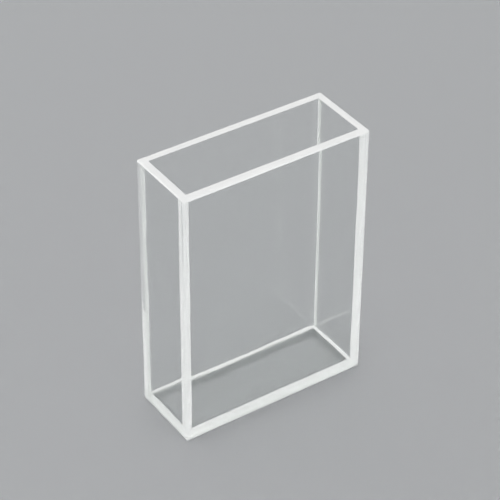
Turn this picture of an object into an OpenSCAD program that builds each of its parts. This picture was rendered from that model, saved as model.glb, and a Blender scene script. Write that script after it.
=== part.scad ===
// Rectangular glass cuvette with a 30 mm light path.
// Five flat plates of clear glass are fused edge to edge, then the outside is ground true as one block.
// X runs along the light path, -Y is the front, and the origin is the centre of the foot.

/* [Chamber] */
// Light path, from the inner face of one window to the inner face of the other
path_length = 30; // [10:0.5:50]
// Width of the chamber across the light path
chamber_width = 10; // [4:0.5:20]

/* [Plates] */
// Height of the four walls, from the foot to the ground rim
cell_height = 45; // [25:1:70]
// Thickness of the window at each end of the light path
window_t = 1.25; // [0.8:0.05:2.5]
// Thickness of the front and the back side plate
side_t = 1.25; // [0.8:0.05:2.5]
// Thickness of the floor plate between the four walls
floor_t = 1.6; // [1:0.1:4]

/* [Finish] */
// Width of the small bevel ground along every outside edge, measured along each face
arris = 0.2; // [0.05:0.05:0.4]

/* [Hidden] */

cell_length = path_length + 2 * window_t;
cell_width = chamber_width + 2 * side_t;
clear_glass = [0.82, 0.92, 0.95, 0.4];

// Rectangle about the origin with its four corners cut by the arris
module broken_rectangle(a, b) {
    polygon([
        for (corner = [[1, 1], [-1, 1], [-1, -1], [1, -1]])
            each corner_points(a / 2, b / 2, corner[0], corner[1])
    ]);
}

// The two ends of one cut corner, in the order in which the outline passes them
function corner_points(x, y, sx, sy) =
    let (
        beside = [sx * x, sy * (y - arris)],
        above = [sx * (x - arris), sy * y]
    )
    sx * sy > 0 ? [beside, above] : [above, beside];

// Outside of the fused block after grinding: a box on the foot, with all twelve edges broken
module ground_block() {
    intersection() {
        linear_extrude(cell_height)
            broken_rectangle(cell_length, cell_width);
        translate([0, cell_width / 2, cell_height / 2])
            rotate([90, 0, 0])
                linear_extrude(cell_width)
                    broken_rectangle(cell_length, cell_height);
        translate([-cell_length / 2, 0, cell_height / 2])
            rotate([90, 0, 90])
                linear_extrude(cell_length)
                    broken_rectangle(cell_width, cell_height);
    }
}

// One flat plate, centred on the given place and standing on the foot plane
module plate(length, width, height, at = [0, 0]) {
    intersection() {
        ground_block();
        translate([at[0] - length / 2, at[1] - width / 2, 0])
            cube([length, width, height]);
    }
}

// Side plates run the whole length, so their ends show at the corners
module front_side_plate() {
    color(clear_glass)
        plate(cell_length, side_t, cell_height, [0, -(chamber_width + side_t) / 2]);
}

module back_side_plate() {
    color(clear_glass)
        plate(cell_length, side_t, cell_height, [0, (chamber_width + side_t) / 2]);
}

// Windows stand between the side plates and close the two ends of the light path
module left_window() {
    color(clear_glass)
        plate(window_t, chamber_width, cell_height, [-(path_length + window_t) / 2, 0]);
}

module right_window() {
    color(clear_glass)
        plate(window_t, chamber_width, cell_height, [(path_length + window_t) / 2, 0]);
}

// The floor is let in between the four walls, flush with their feet
module floor_plate() {
    color(clear_glass)
        plate(path_length, chamber_width, floor_t);
}

front_side_plate();
back_side_plate();
left_window();
right_window();
floor_plate();
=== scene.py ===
"""Rectangular glass cuvette: five plates of clear glass fused edge to edge and ground true as one block."""
import math

import bmesh
import bpy
import numpy as np
from mathutils import Matrix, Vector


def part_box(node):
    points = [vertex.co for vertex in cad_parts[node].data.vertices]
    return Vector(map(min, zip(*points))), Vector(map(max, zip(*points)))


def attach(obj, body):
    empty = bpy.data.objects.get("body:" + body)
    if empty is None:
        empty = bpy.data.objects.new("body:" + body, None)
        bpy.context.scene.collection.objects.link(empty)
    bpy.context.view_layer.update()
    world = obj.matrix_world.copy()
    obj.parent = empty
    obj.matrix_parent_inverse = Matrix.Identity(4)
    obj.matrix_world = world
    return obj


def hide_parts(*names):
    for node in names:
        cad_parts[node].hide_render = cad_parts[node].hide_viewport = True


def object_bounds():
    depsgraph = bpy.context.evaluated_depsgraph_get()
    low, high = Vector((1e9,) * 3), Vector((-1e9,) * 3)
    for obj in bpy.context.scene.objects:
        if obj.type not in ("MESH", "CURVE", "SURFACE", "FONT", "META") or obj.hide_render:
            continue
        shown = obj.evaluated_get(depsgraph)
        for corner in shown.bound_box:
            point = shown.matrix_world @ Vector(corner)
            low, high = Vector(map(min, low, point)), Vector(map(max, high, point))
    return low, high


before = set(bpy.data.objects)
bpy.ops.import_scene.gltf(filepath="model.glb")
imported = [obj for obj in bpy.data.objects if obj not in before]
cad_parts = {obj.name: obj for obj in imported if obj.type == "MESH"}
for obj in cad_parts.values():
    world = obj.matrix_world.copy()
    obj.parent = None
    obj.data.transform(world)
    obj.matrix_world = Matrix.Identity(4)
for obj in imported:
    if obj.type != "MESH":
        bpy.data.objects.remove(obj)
cad_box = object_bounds()


# ---- Front and back side plates ----
# Two long plates of clear polished glass that run the whole length of the cell.
# Windows and floor are fused to their inner faces, and the outer edges are broken on a grinding wheel.
MM = 0.001
# The block's four outer sides, in order round it, and the faces towards the chamber.
FRONT, RIGHT, BACK, LEFT, INNER = range(5)
# The finishes: each is a place in a plate's list of materials.
POLISHED, GROUND, FUSED, END = range(4)
BLOCK_LOW, BLOCK_HIGH = (np.array(corner) for corner in cad_box)
FLOOR_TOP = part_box("floor_plate")[1][2]
WINDOW_THICKNESS = float(np.ptp([corner[0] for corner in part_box("left_window")]))
ROUND_STEP, RISE_STEP = 0.2 * MM, 0.3 * MM  # between a wall's columns, and between its rows
# Columns and rows keep this far from an edge, and rows from the floor's line below them, so that none meets a
# bevel or the white that creeps past a joint.
EDGE_ROOM = 0.55 * MM
TINY = 1e-7  # two heights nearer than this, in metres, are the same


def wander(t, seed, size):
    """The slow unevenness of hand work at t along an edge.

    Sines of random phase at four wavelengths, each weighted by the root of its wavelength, are added
    and scaled so that the sum stays between minus size and plus size.
    """
    waves = np.array([19.0, 7.1, 2.6, 0.9]) * MM
    phase = np.random.default_rng(seed).uniform(0, 2 * np.pi, len(waves))
    weight = np.sqrt(waves)
    swing = np.sin(2 * np.pi * np.asarray(t)[..., None] / waves + phase)
    return size * (swing * weight).sum(-1) / weight.sum()


def chips(t, seed, per_mm, deepest):
    """Depth of small chips at t along an edge.

    Each is a parabola at a random place, six times as wide as deep or more, and the deepest at t counts.
    """
    draw = np.random.default_rng(seed)
    reach = 25 * MM  # past both ends of the longest edge
    count = round(2 * reach / MM * per_mm)
    place = draw.uniform(-reach, reach, count)
    size = draw.uniform(0.2, 1.0, count) ** 2
    half_width = 3 * deepest * np.sqrt(size)
    apart = (np.asarray(t)[..., None] - place) / half_width
    return (deepest * size * np.clip(1 - apart**2, 0, 1)).max(-1)


def ground_edge(first, last, axis, seed):
    """Width of a ground bevel at t along its edge.

    An even taper, from first to last in mm, plus the wander of the hand and the depth of the chips.
    """
    low, high = BLOCK_LOW[axis], BLOCK_HIGH[axis]
    unevenness = 0.06 * (first + last) * MM

    def width(t):
        along = (np.asarray(t) - low) / (high - low)
        taper = (first + (last - first) * along) * MM
        return taper + wander(t, seed, unevenness) + chips(t, seed, per_mm=0.9, deepest=0.07 * MM)

    return width


def ground_edges(widths, seed):
    """The four bevels of the foot or the rim, from each one's widths at its low and its high end.

    They go round the block from the front.
    """
    return [ground_edge(first, last, side % 2, seed + side) for side, (first, last) in enumerate(widths)]


RIM_BEVEL = ground_edges([(0.38, 0.17), (0.13, 0.15), (0.13, 0.05), (0.19, 0.19)], seed=1)
FOOT_BEVEL = ground_edges([(0.14, 0.14), (0.13, 0.13), (0.13, 0.13), (0.14, 0.14)], seed=5)
BEVEL_ROWS = 3
CROWN_OUT, CROWN_IN = 0.58, 0.42  # shares that set a bevel's middle row a little proud, so that it is rounded
UPRIGHT_FLAT = 0.20 * MM


def polished_edge(t):
    """Width of the polished flat along an upright edge: the same all the way."""
    return np.full(np.shape(t), UPRIGHT_FLAT)


def fused_line(size, seed, sway=0.9):
    """How far the white of a fused joint creeps past the joint at t along it: a mean in mm, and its wander.

    sway is the most that it wanders, as a share of the mean.
    """

    def creep(t):
        return size * MM * (1 + wander(t, seed, sway))

    return creep


FLOOR_CREEP = 0.10  # mm that the white of the floor's joint creeps up each wall


def stations(low, high, step, stops=()):
    """Even steps from low to high, with the stops put in between."""
    even = np.linspace(low, high, max(2, round((high - low) / step) + 1))
    return np.unique(np.round(np.concatenate([even, stops]), 8))


def lofted(name, rows, strips, foot_finish, rim_finish, materials):
    """A closed solid from a grid of points: rows[k, s] goes round the plan by s and up the height by k.

    strips[k, s] is the finish of the face between row k and the next, and column s and the next. Points that
    fall together are merged, and the first and last rows are closed by one flat face each.
    """
    count, around = rows.shape[:2]
    index = np.arange(count * around).reshape(count, around)
    turned = np.roll(index, -1, axis=1)
    quads = np.stack([index[:-1], turned[:-1], turned[1:], index[1:]], axis=-1).reshape(-1, 4)
    faces = quads.tolist() + [index[0, ::-1].tolist(), index[-1].tolist()]
    mesh = bpy.data.meshes.new(name)
    mesh.from_pydata(rows.reshape(-1, 3).tolist(), [], faces)
    for material in materials:
        mesh.materials.append(material)
    of_face = np.concatenate([strips.ravel(), [foot_finish, rim_finish]]).astype(np.int32)
    mesh.polygons.foreach_set("material_index", of_face)
    merged = bmesh.new()
    merged.from_mesh(mesh)
    bmesh.ops.remove_doubles(merged, verts=merged.verts, dist=1e-8)
    bmesh.ops.recalc_face_normals(merged, faces=merged.faces)
    merged.to_mesh(mesh)
    merged.free()
    piece = bpy.data.objects.new(name, mesh)
    bpy.context.scene.collection.objects.link(piece)
    return piece


def wall(name, node, side, outline_of, end_gap, joint_width, creep, materials, seed):
    """One wall of the block: its outline in plan, carried up its height.

    u runs along the outer face from its left end, seen from outside, and v from the outer to the inner face.
    end_gap is how far the two ends stay clear of the neighbours, joint_width the length of the fused joint at
    each end of the inner face, and creep the mean width in mm of the white past an upright joint.
    outline_of(side, length, thick, creep, seed) gives the outline as a list of columns, or runs of columns:
    u, v, the lean in u and in v, the width that it leans by, the two sides that it lies on, and the finish as
    far as the next. So a column leans away from its corner by a width that changes with the height. At foot
    and rim the outline draws in by the bevel's width, over three rows.
    """
    low, high = (np.array(corner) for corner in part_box(node))
    turn = side * np.pi / 2
    u_way = np.round([np.cos(turn), np.sin(turn)])
    v_way = np.round([-np.sin(turn), np.cos(turn)])
    start = np.where(u_way + v_way > 0, low[:2], high[:2]) + end_gap * u_way
    length, thick = (np.abs((high - low)[:2] @ way) for way in (u_way, v_way))
    length -= 2 * end_gap
    outline = outline_of(side, length, thick, creep, seed)
    counts = [np.size(part[0]) for part in outline]
    u = np.concatenate([np.atleast_1d(part[0]) for part in outline])
    v, lean_u, lean_v, one, other, finish = (
        np.repeat([part[i] for part in outline], counts) for i in (1, 2, 3, 5, 6, 7)
    )
    inner = one == INNER
    plan = start + u[:, None] * u_way + v[:, None] * v_way

    levels = stations(EDGE_ROOM, high[2] - EDGE_ROOM, RISE_STEP, [FLOOR_TOP])
    levels = levels[(levels < FLOOR_TOP + TINY) | (levels > FLOOR_TOP + EDGE_ROOM)]
    height = np.concatenate([[low[2]] * BEVEL_ROWS, levels, [high[2]] * BEVEL_ROWS])
    rows = np.empty((len(height), len(u), 3))
    rows[..., 2] = height[:, None]
    leaning = np.zeros((len(height), len(u)))
    for part, column in zip(outline, np.cumsum([0] + counts)):
        if part[4] is not None:
            leaning[:, column] = part[4](height)
    lean = lean_u[:, None] * u_way + lean_v[:, None] * v_way
    rows[..., :2] = plan + leaning[..., None] * lean

    # A column's bevel is the mean of those of the sides that it lies on, and the inner faces have none.
    for bevels, (tip, crown, edge), up in ((FOOT_BEVEL, (0, 1, 2), 1), (RIM_BEVEL, (-1, -2, -3), -1)):
        front, right, back, left = (bevels[face](plan[:, face % 2]) for face in (FRONT, RIGHT, BACK, LEFT))
        widths = [front, right, back, left, np.zeros(len(u))]
        rows[edge, :, 2] += up * (np.choose(one, widths) + np.choose(other, widths)) / 2
        rows[tip, :, 0] = np.clip(rows[tip, :, 0], BLOCK_LOW[0] + left, BLOCK_HIGH[0] - right)
        rows[tip, :, 1] = np.clip(rows[tip, :, 1], BLOCK_LOW[1] + front, BLOCK_HIGH[1] - back)
        rows[crown, :, :2] = CROWN_OUT * rows[edge, :, :2] + CROWN_IN * rows[tip, :, :2]
        rows[crown, :, 2] = CROWN_IN * rows[edge, :, 2] + CROWN_OUT * rows[tip, :, 2]

    # The white that creeps up from the floor's joint fades out within a millimetre of the upright ones.
    floor_row = BEVEL_ROWS + np.searchsorted(levels, FLOOR_TOP - TINY)
    fade = np.clip(np.minimum(u - joint_width, length - joint_width - u) / MM, 0, 1)
    rows[floor_row, inner, 2] += (fade * fused_line(FLOOR_CREEP, seed + 4)(u))[inner]
    strips = np.tile(finish, (len(height) - 1, 1))
    strips[:floor_row, inner] = FUSED
    outside = ~inner & ~np.roll(inner, -1)
    strips[: BEVEL_ROWS - 1, outside] = GROUND
    strips[1 - BEVEL_ROWS :, outside] = GROUND
    return lofted(name, rows, strips, FUSED, GROUND, materials)


def side_plate_outline(side, length, thick, creep, seed):
    """Outline of a side plate: it turns at the block's upright edges, and its inner face ends at two joints.

    The back plate's own face at its last joint is left clear, and the window's white edge shows behind it.
    """
    before, after = (side - 1) % 4, (side + 1) % 4
    first_creep, last_creep = fused_line(creep, seed), fused_line(creep, seed + 1)
    first_joint, last_joint = length - WINDOW_THICKNESS, WINDOW_THICKNESS
    outer_run = stations(EDGE_ROOM, length - EDGE_ROOM, ROUND_STEP)
    inner_run = stations(last_joint + EDGE_ROOM, first_joint - EDGE_ROOM, ROUND_STEP)[::-1]
    return [
        (0, 0, 0, 1, polished_edge, before, before, POLISHED),
        (0, 0, 1, 0, polished_edge, side, side, POLISHED),
        (outer_run, 0, 0, 0, None, side, side, POLISHED),
        (length, 0, -1, 0, polished_edge, side, side, POLISHED),
        (length, 0, 0, 1, polished_edge, after, after, END),
        (length, thick, 0, 0, None, after, after, FUSED),
        (first_joint, thick, -1, 0, first_creep, INNER, INNER, POLISHED),
        (inner_run, thick, 0, 0, None, INNER, INNER, POLISHED),
        (last_joint, thick, 1, 0, last_creep, INNER, INNER, POLISHED if side == BACK else FUSED),
        (0, thick, 0, 0, None, before, before, END),
    ]


def group(name, ins, outs):
    """A new shader node group with the named inputs and outputs, and its two end nodes."""
    tree = bpy.data.node_groups.new(name, "ShaderNodeTree")
    for label, kind, value in ins:
        socket = tree.interface.new_socket(label, in_out="INPUT", socket_type="NodeSocket" + kind)
        if value is not None:
            socket.default_value = value
    for label, kind in outs:
        tree.interface.new_socket(label, in_out="OUTPUT", socket_type="NodeSocket" + kind)
    return tree, tree.nodes.new("NodeGroupInput"), tree.nodes.new("NodeGroupOutput")


def node(tree, kind, links=None, **settings):
    """Adds a node. links gives its inputs, by name or number, as values or as another node's outputs."""
    made = tree.nodes.new("ShaderNode" + kind)
    for key, value in settings.items():
        setattr(made, key, value)
    for key, value in (links or {}).items():
        if isinstance(value, bpy.types.NodeSocket):
            tree.links.new(value, made.inputs[key])
        else:
            made.inputs[key].default_value = value
    return made


def maths(tree, operation, *terms):
    """A Math node on its terms."""
    return node(tree, "Math", dict(enumerate(terms)), operation=operation).outputs[0]


def noise(tree, vector, scale, detail, **more):
    """A Noise node's value, at that scale, in features to the metre, and detail."""
    return node(tree, "TexNoise", {"Vector": vector, "Scale": scale, "Detail": detail, **more}).outputs[0]


def between(tree, value, low, high, to_low=0.0, to_high=1.0):
    """value taken from low..high to to_low..to_high, and clamped."""
    links = {"Value": value, "From Min": low, "From Max": high, "To Min": to_low, "To Max": to_high}
    return node(tree, "MapRange", links).outputs["Result"]


def blend(tree, factor, one, other):
    """The colour one where factor is 0 and other where it is 1."""
    mixed = node(tree, "Mix", data_type="RGBA")
    for socket, value in ((mixed.inputs[0], factor), (mixed.inputs[6], one), (mixed.inputs[7], other)):
        if isinstance(value, bpy.types.NodeSocket):
            tree.links.new(value, socket)
        else:
            socket.default_value = value
    return mixed.outputs[2]


def make_grind_grain():
    """Matt ground glass: fine grit with scattered pits, over slow clouds where the wheel bit more or less."""
    tree, given, out = group(
        "grind_grain",
        [("Vector", "Vector", None), ("Grit", "Float", 9000.0), ("Clouds", "Float", 300.0),
         ("Pits", "Float", 0.3), ("Pale", "Color", (0.9, 0.9, 0.9, 1)),
         ("Dull", "Color", (0.7, 0.7, 0.7, 1))],
        [("Colour", "Color"), ("Roughness", "Float"), ("Height", "Float")],
    )
    vector, grit = given.outputs["Vector"], given.outputs["Grit"]
    pit_share, pit_depth = 0.3, 0.8  # the pits' scale and depth beside the grit's
    grain = noise(tree, vector, scale=grit, detail=2.0, Roughness=0.6)
    cloud = noise(tree, vector, scale=given.outputs["Clouds"], detail=3.0)
    cells = node(tree, "TexVoronoi", {"Vector": vector, "Scale": maths(tree, "MULTIPLY", grit, pit_share)})
    chance = node(tree, "SeparateColor", {"Color": cells.outputs["Color"]}).outputs[0]
    struck = maths(tree, "LESS_THAN", chance, given.outputs["Pits"])
    pit = maths(tree, "MULTIPLY", struck, between(tree, cells.outputs["Distance"], 0.15, 0.4, 1.0, 0.0))
    low_grain = between(tree, grain, 0.35, 0.65, 0.5, 0.0)
    low_cloud = between(tree, cloud, 0.4, 0.65, 0.5, 0.0)
    dull = maths(tree, "ADD", maths(tree, "ADD", low_grain, low_cloud), pit)
    colour = blend(tree, between(tree, dull, 0.0, 1.4), given.outputs["Pale"], given.outputs["Dull"])
    tree.links.new(colour, out.inputs["Colour"])
    tree.links.new(between(tree, grain, 0.3, 0.7, 0.65, 0.95), out.inputs["Roughness"])
    height = maths(tree, "SUBTRACT", grain, maths(tree, "MULTIPLY", pit, pit_depth))
    tree.links.new(height, out.inputs["Height"])
    return tree


def make_handling_marks():
    """Polished glass in use: a thin film left in wiped smears, hairline marks, and dust lying in drifts."""
    tree, given, out = group(
        "handling_marks",
        [("Vector", "Vector", None), ("Haze", "Float", 0.05), ("Dust", "Float", 0.1),
         ("Hairlines", "Float", 0.02)],
        [("Colour", "Color"), ("Roughness", "Float"), ("Height", "Float")],
    )
    clean_colour, film_colour = (0.985, 0.993, 0.99, 1), (0.93, 0.935, 0.92, 1)
    dust_colour, dust_roughness = (0.78, 0.78, 0.76, 1), 0.5
    film_tint = 6.0  # how much more the film tints the glass than it roughens it
    hair_width = 0.004  # a hairline is where the noise passes its middle by less than this
    vector = given.outputs["Vector"]
    wiped = noise(tree, vector, scale=110.0, detail=4.0, Distortion=1.2)
    mottle = noise(tree, vector, scale=1400.0, detail=2.0)
    mottled = between(tree, mottle, 0.35, 0.7, 0.4, 1.0)
    smear = maths(tree, "MULTIPLY", between(tree, wiped, 0.52, 0.72), mottled)
    lines = noise(tree, vector, scale=95.0, detail=0.0, Distortion=0.6)
    off_line = maths(tree, "ABSOLUTE", maths(tree, "SUBTRACT", lines, 0.5))
    hair = between(tree, off_line, 0.0, hair_width, 1.0, 0.0)
    drift = noise(tree, vector, scale=90.0, detail=1.0)
    share = maths(tree, "MULTIPLY", given.outputs["Dust"], between(tree, drift, 0.45, 0.65))
    cells = node(tree, "TexVoronoi", {"Vector": vector, "Scale": 900.0})
    shares = node(tree, "SeparateColor", {"Color": cells.outputs["Color"]})
    struck = maths(tree, "LESS_THAN", shares.outputs[0], share)
    reach = between(tree, shares.outputs[1], 0.0, 1.0, 0.035, 0.085)
    inside = maths(tree, "LESS_THAN", cells.outputs["Distance"], reach)
    speck = maths(tree, "MULTIPLY", struck, inside)
    rough = maths(tree, "MULTIPLY", smear, given.outputs["Haze"])
    rough = maths(tree, "ADD", rough, maths(tree, "MULTIPLY", hair, given.outputs["Hairlines"]))
    rough = maths(tree, "ADD", rough, maths(tree, "MULTIPLY", speck, dust_roughness))
    film = maths(tree, "MULTIPLY", smear, maths(tree, "MULTIPLY", given.outputs["Haze"], film_tint))
    glass = blend(tree, film, clean_colour, film_colour)
    tree.links.new(blend(tree, speck, glass, dust_colour), out.inputs["Colour"])
    tree.links.new(rough, out.inputs["Roughness"])
    tree.links.new(maths(tree, "ADD", hair, speck), out.inputs["Height"])
    return tree


GRIND_GRAIN, HANDLING_MARKS = make_grind_grain(), make_handling_marks()
GLASS_IOR = 1.458


def glass_material(name, haze, dust, hairlines, clear=1.0):
    """Polished glass with the handling marks of that face. Where clear is under 1 it is faintly milky."""
    material = bpy.data.materials.new(name)
    material.use_nodes = True
    tree = material.node_tree
    shader = tree.nodes["Principled BSDF"]
    where = node(tree, "TexCoord").outputs["Object"]
    marks = node(tree, "Group", node_tree=HANDLING_MARKS)
    tree.links.new(where, marks.inputs["Vector"])
    for label, value in (("Haze", haze), ("Dust", dust), ("Hairlines", hairlines)):
        marks.inputs[label].default_value = value
    raised = node(tree, "Bump", {"Height": marks.outputs["Height"], "Strength": 0.15, "Distance": 0.002 * MM})
    tree.links.new(marks.outputs["Colour"], shader.inputs["Base Color"])
    tree.links.new(marks.outputs["Roughness"], shader.inputs["Roughness"])
    tree.links.new(raised.outputs[0], shader.inputs["Normal"])
    shader.inputs["Transmission Weight"].default_value = clear
    shader.inputs["IOR"].default_value = GLASS_IOR
    return material


def white_material(name, grit, clouds, pits, pale, dull, depth, gloss):
    """Glass made white by grinding or by a fused joint, as seen from either side of the surface.

    depth is that of the grain, in mm.
    """
    material = bpy.data.materials.new(name)
    material.use_nodes = True
    tree = material.node_tree
    shader = tree.nodes["Principled BSDF"]
    where = node(tree, "TexCoord").outputs["Object"]
    grain = node(tree, "Group", node_tree=GRIND_GRAIN)
    tree.links.new(where, grain.inputs["Vector"])
    for label, value in (("Grit", grit), ("Clouds", clouds), ("Pits", pits), ("Pale", pale), ("Dull", dull)):
        grain.inputs[label].default_value = value
    raised = node(tree, "Bump", {"Height": grain.outputs["Height"], "Strength": 0.5, "Distance": depth * MM})
    tree.links.new(grain.outputs["Colour"], shader.inputs["Base Color"])
    tree.links.new(grain.outputs["Roughness"], shader.inputs["Roughness"])
    tree.links.new(raised.outputs[0], shader.inputs["Normal"])
    shader.inputs["IOR"].default_value = GLASS_IOR
    shader.inputs["Specular IOR Level"].default_value = gloss
    return material


ground_white = white_material(
    "ground_edge", grit=9000.0, clouds=350.0, pits=0.25,
    pale=(0.95, 0.955, 0.95, 1), dull=(0.84, 0.85, 0.85, 1), depth=0.02, gloss=0.2,
)
fused_white = white_material(
    "fused_joint", grit=3200.0, clouds=260.0, pits=0.12,
    pale=(0.985, 0.99, 0.985, 1), dull=(0.93, 0.94, 0.93, 1), depth=0.008, gloss=0.0,
)
side_glass = glass_material("side_plate_glass", haze=0.05, dust=0.30, hairlines=0.02)
end_glass = glass_material("side_plate_end_glass", haze=0.08, dust=0.30, hairlines=0.02, clear=0.84)
side_finishes = [side_glass, ground_white, fused_white, end_glass]

for name, node_name, side, creep, seed in (
    ("front_plate", "front_side_plate", FRONT, 0.06, 20),
    ("back_plate", "back_side_plate", BACK, 0.11, 30),
):
    plate = wall(
        name, node_name, side, side_plate_outline,
        end_gap=0.0, joint_width=WINDOW_THICKNESS, creep=creep, materials=side_finishes, seed=seed,
    )
    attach(plate, "root")
    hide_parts(node_name)


# ---- End windows ----
# Two short plates that close the ends of the light path, the most carefully polished of the five.
# Their long edges are ground flat and fused between the side plates, and the joint shows as a white line.
HAIR = 0.004 * MM  # how far a plate's joint face stays clear of its neighbour's
SEAM_CREEP = 0.03  # mm that the white of a window's edge creeps onto its outer face


def window_outline(side, length, thick, creep, seed):
    """Outline of a window: both ends are fused, and a line of white runs up each edge of its two faces."""
    first_creep, last_creep = fused_line(creep, seed), fused_line(creep, seed + 1)
    first_seam, last_seam = fused_line(SEAM_CREEP, seed + 2), fused_line(SEAM_CREEP, seed + 3)
    run = stations(EDGE_ROOM, length - EDGE_ROOM, ROUND_STEP)
    return [
        (0, 0, 0, 0, None, side, side, FUSED),
        (0, 0, 1, 0, first_seam, side, side, POLISHED),
        (run, 0, 0, 0, None, side, side, POLISHED),
        (length, 0, -1, 0, last_seam, side, side, FUSED),
        (length, 0, 0, 0, None, side, side, FUSED),
        (length, thick, 0, 0, None, INNER, INNER, FUSED),
        (length, thick, -1, 0, first_creep, INNER, INNER, POLISHED),
        (run[::-1], thick, 0, 0, None, INNER, INNER, POLISHED),
        (0, thick, 1, 0, last_creep, INNER, INNER, FUSED),
        (0, thick, 0, 0, None, INNER, INNER, FUSED),
    ]


window_glass = glass_material("window_glass", haze=0.04, dust=0.30, hairlines=0.012)
window_finishes = [window_glass, ground_white, fused_white]
for name, node_name, side, creep, seed in (
    ("left_end_window", "left_window", LEFT, 0.06, 40),
    ("right_end_window", "right_window", RIGHT, 0.11, 50),
):
    window = wall(
        name, node_name, side, window_outline,
        end_gap=HAIR, joint_width=0.0, creep=creep, materials=window_finishes, seed=seed,
    )
    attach(window, "root")
    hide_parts(node_name)


# ---- Floor plate ----
# A thicker clear plate let in between the four walls, flush with their feet and fused to them on all sides.
# A hair of white joint creeps onto its top at the front and the left, and a wider band at the right and back.
FLOOR_STEP = 0.25 * MM
floor_low, floor_high = (np.array(corner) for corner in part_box("floor_plate"))
floor_low[:2] += HAIR
floor_high[:2] -= HAIR
around_x = stations(floor_low[0], floor_high[0], FLOOR_STEP)
around_y = stations(floor_low[1], floor_high[1], FLOOR_STEP)
sides = [
    (around_x[:-1], np.full(len(around_x) - 1, floor_low[1])),
    (np.full(len(around_y) - 1, floor_high[0]), around_y[:-1]),
    (around_x[:0:-1], np.full(len(around_x) - 1, floor_high[1])),
    (np.full(len(around_y) - 1, floor_low[0]), around_y[:0:-1]),
]
plan = np.concatenate([np.stack(side, axis=-1) for side in sides])
near_creep, far_creep = fused_line(0.10, seed=60), fused_line(0.50, seed=61, sway=0.25)
# The white keeps one width within a millimetre of a corner, so its inner outline turns there without a fold.
across = np.clip(plan, floor_low[:2] + MM, floor_high[:2] - MM)[:, ::-1]
drawn_in = np.clip(plan, floor_low[:2] + near_creep(across), floor_high[:2] - far_creep(across))
floor_rows = np.empty((3, len(plan), 3))
floor_rows[:2, :, :2], floor_rows[2, :, :2] = plan, drawn_in
floor_rows[0, :, 2], floor_rows[1:, :, 2] = floor_low[2], floor_high[2]
floor_glass = glass_material("floor_plate_glass", haze=0.12, dust=0.30, hairlines=0.01)
floor_finishes = [floor_glass, ground_white, fused_white]
floor_strips = np.full((2, len(plan)), FUSED)
floor_piece = lofted("cell_floor", floor_rows, floor_strips, POLISHED, POLISHED, floor_finishes)
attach(floor_piece, "root")
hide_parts("floor_plate")


# ---- Table and studio light ----
# A plain pale table top inside a white ring of light, which is brightest at the horizon and dark overhead,
# with three long soft boxes standing low round the cell.
AIR_GAP = 0.03 * MM
HALF_TABLE = 3.0
scene = bpy.context.scene
table_mesh = bpy.data.meshes.new("table_top")
table_corners = [(x * HALF_TABLE, y * HALF_TABLE, -AIR_GAP) for x, y in ((-1, -1), (1, -1), (1, 1), (-1, 1))]
table_mesh.from_pydata(table_corners, [], [(0, 1, 2, 3)])
table = bpy.data.objects.new("table_top", table_mesh)
scene.collection.objects.link(table)
table_paint = bpy.data.materials.new("table_paint")
table_paint.use_nodes = True
paint = table_paint.node_tree.nodes["Principled BSDF"]
paint.inputs["Base Color"].default_value = (0.43, 0.44, 0.45, 1)
paint.inputs["Roughness"].default_value = 0.9
paint.inputs["Specular IOR Level"].default_value = 0.2
table_mesh.materials.append(table_paint)

RING_STRENGTH = 1.52
room = bpy.data.worlds.new("studio_room")
scene.world = room
room.use_nodes = True
sky = room.node_tree
backdrop = sky.nodes["Background"]
backdrop.inputs["Color"].default_value = (1.0, 1.0, 1.0, 1)
rise = node(sky, "SeparateXYZ", {"Vector": node(sky, "TexCoord").outputs["Generated"]}).outputs[2]
ring = maths(sky, "SUBTRACT", 1.0, maths(sky, "MULTIPLY", rise, rise))
sky.links.new(maths(sky, "MULTIPLY", ring, RING_STRENGTH), backdrop.inputs["Strength"])


def facing(azimuth, elevation):
    """The ways across, up and back of a thing that looks at the cell from there. Angles are in radians."""
    flat = math.cos(elevation)
    back = np.array([math.sin(azimuth) * flat, -math.cos(azimuth) * flat, math.sin(elevation)])
    across = np.array([math.cos(azimuth), math.sin(azimuth), 0.0])
    return across, np.cross(back, across), back


def stand(holder, across, up, back, place):
    """Puts a lamp or a camera at place, looking against its way back."""
    holder.matrix_world = Matrix([[across[i], up[i], back[i], place[i]] for i in range(3)] + [[0, 0, 0, 1]])
    scene.collection.objects.link(holder)


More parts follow.
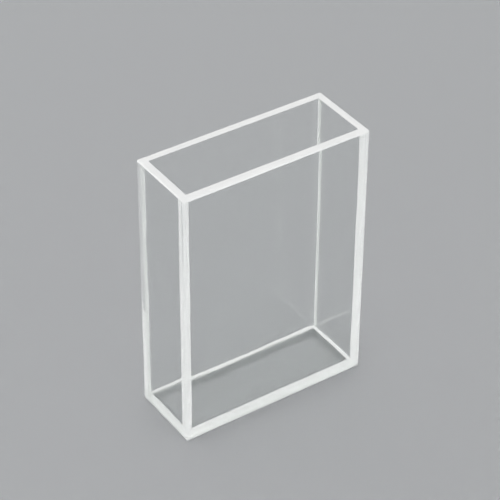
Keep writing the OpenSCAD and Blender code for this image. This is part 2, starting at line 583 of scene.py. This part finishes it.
LIFT, LAMP_DISTANCE = math.radians(20), 1.3
LAMP_LENGTH, LAMP_HEIGHT = 2.4, 1.1


def soft_lamp(name, azimuth, level):
    """A long low soft box that faces the cell from azimuth, in degrees round it from the front.

    level is how bright it makes a white card that faces it: the power is pi squared, times the square of
    the distance, times the level.
    """
    across, up, back = facing(math.radians(azimuth), LIFT)
    lamp = bpy.data.lights.new(name, "AREA")
    lamp.shape, lamp.size, lamp.size_y = "RECTANGLE", LAMP_LENGTH, LAMP_HEIGHT
    lamp.energy = level * math.pi**2 * LAMP_DISTANCE**2
    place = back * LAMP_DISTANCE + np.array([0, 0, BLOCK_HIGH[2] / 2])
    stand(bpy.data.objects.new(name, lamp), across, up, back, place)


soft_lamp("front_lamp", 0, 0.20)
soft_lamp("left_lamp", -90, 0.20)
soft_lamp("rear_lamp", 180, 0.34)

# The white joints are lit through many glass faces, and would turn grey with fewer bounces or softened gloss.
# Noise is cleaned by colour alone, because behind polished glass the usual guides are noisy themselves.
GLASS_BOUNCES, DIFFUSE_BOUNCES = 64, 24
scene.cycles.max_bounces = GLASS_BOUNCES
scene.cycles.transmission_bounces = GLASS_BOUNCES
scene.cycles.glossy_bounces = GLASS_BOUNCES
scene.cycles.diffuse_bounces = DIFFUSE_BOUNCES
scene.cycles.blur_glossy = 0.0
scene.cycles.denoising_input_passes = "RGB"
scene.view_settings.view_transform = "Standard"


# ---- Camera ----
# Looks down at the cell from the front left with a long lens, far enough away to keep its uprights nearly
# parallel, and rolled by less than half a degree.
AZIMUTH, ELEVATION, ROLL = (math.radians(angle) for angle in (-34.24, 37.05, 0.40))
DISTANCE, AIM = 0.3062, np.array([-0.65, 0.0, 26.19]) * MM
level, upright, back = facing(AZIMUTH, ELEVATION)
right = math.cos(ROLL) * level + math.sin(ROLL) * upright
up = math.cos(ROLL) * upright - math.sin(ROLL) * level
lens = bpy.data.cameras.new("camera")
lens.sensor_width, lens.lens, lens.clip_start = 36.0, 146.6, 0.01
camera = bpy.data.objects.new("camera", lens)
stand(camera, right, up, back, AIM + back * DISTANCE)
scene.camera = camera
